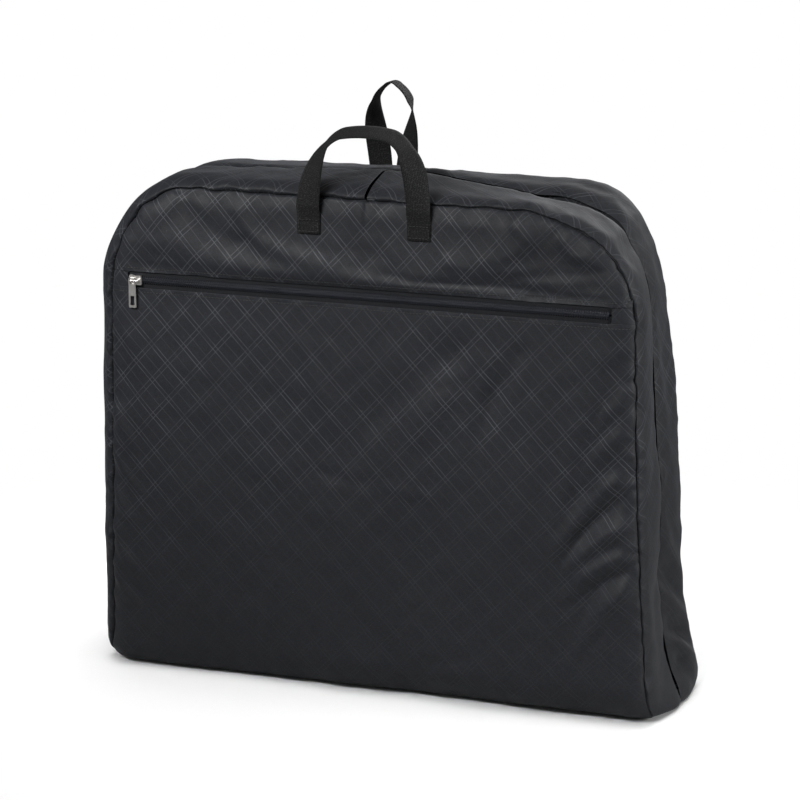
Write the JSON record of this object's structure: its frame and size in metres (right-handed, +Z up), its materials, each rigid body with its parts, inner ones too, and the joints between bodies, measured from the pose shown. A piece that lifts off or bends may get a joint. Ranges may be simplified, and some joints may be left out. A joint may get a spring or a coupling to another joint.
{
  "type": "folding garment bag",
  "caption": "Folding cloth garment bag with a zipped outer pocket, a main zip on the folded-in face, a hanger slit in the top and webbing handles.",
  "frame": {"origin": "middle of the overall box at the base of the standing, folded bag", "axes": "+X to the right seen from the pocket side, +Y to the rear, +Z up; the pocket side faces -Y"},
  "size_m": [0.606, 0.1791, 0.6366],
  "materials": {
    "cloth": "lined black nylon with a faint tone-on-tone figured weave",
    "webbing": "black woven webbing",
    "zip_tape": "black woven tape",
    "zip_coil": "black coil with a slight shine",
    "nickel": "nickel-plated, satin"
  },
  "bodies": {
    "front_half": {"yoke_panel": "cloth", "pocket_panel": "cloth", "pocket_inner_wall": "cloth", "front_gusset_left": "cloth", "front_gusset_right": "cloth", "front_fold_panel": "cloth", "front_inner_panel_left": "cloth", "front_inner_panel_right": "cloth", "pocket_zip_tab_left": "cloth", "pocket_zip_tab_right": "cloth", "pocket_zip_tape_upper": "zip_tape", "pocket_zip_tape_lower": "zip_tape", "pocket_zip_coil_upper": "zip_coil", "pocket_zip_coil_lower": "zip_coil", "main_zip_tape_front_left": "zip_tape", "main_zip_tape_front_right": "zip_tape", "main_zip_coil_front_left": "zip_coil", "main_zip_coil_front_right": "zip_coil", "front_handle_end_left": "webbing", "front_handle_end_right": "webbing"},
    "rear_half": {"rear_panel": "cloth", "rear_gusset_left": "cloth", "rear_gusset_right": "cloth", "rear_fold_panel": "cloth", "rear_inner_panel_left": "cloth", "rear_inner_panel_right": "cloth", "main_zip_tape_rear_left": "zip_tape", "main_zip_tape_rear_right": "zip_tape", "main_zip_coil_rear_left": "zip_coil", "main_zip_coil_rear_right": "zip_coil", "rear_handle_end_left": "webbing", "rear_handle_end_right": "webbing"},
    "pocket_slider": {"pocket_slider": "nickel"},
    "pocket_pull": {"pocket_pull": "nickel"},
    "main_slider": {"main_slider": "nickel"},
    "main_pull": {"main_pull": "nickel"},
    "front_handle": {"front_handle": "webbing"},
    "rear_handle": {"rear_handle": "webbing"}
  },
  "joints": [
    {"name": "fold", "type": "hinge", "parent": "front_half", "child": "rear_half", "pos_m": [0, 0, 0.03], "axis": [-1, 0, 0], "range_deg": [0, 180], "deforming": ["front_fold_panel", "rear_fold_panel"]},
    {"name": "pocket_zip", "type": "slide", "parent": "front_half", "child": "pocket_slider", "axis": [1, 0, 0], "range_m": [0, 0.504], "deforming": ["pocket_zip_coil_upper", "pocket_zip_coil_lower"]},
    {"name": "pocket_pull_swing", "type": "hinge", "parent": "pocket_slider", "child": "pocket_pull", "pos_m": [-0.2524, -0.0845, 0.438], "axis": [0, 0, 1], "range_deg": [0, 180]},
    {"name": "main_zip", "type": "slide", "parent": "front_half", "child": "main_slider", "axis": [0, 0, -1], "range_m": [0, 0.42], "deforming": ["main_zip_coil_front_left", "main_zip_coil_front_right"]},
    {"name": "main_pull_swing", "type": "hinge", "parent": "main_slider", "child": "main_pull", "pos_m": [0, -0.0073, 0.4904], "axis": [1, 0, 0], "range_deg": [0, 25]},
    {"name": "front_handle_swing", "type": "hinge", "parent": "front_half", "child": "front_handle", "pos_m": [0, -0.083, 0.5182], "axis": [1, 0, 0], "range_deg": [0, 170]},
    {"name": "rear_handle_swing", "type": "hinge", "parent": "rear_half", "child": "rear_handle", "pos_m": [0, 0.083, 0.5182], "axis": [-1, 0, 0], "range_deg": [0, 170]}
  ]
}
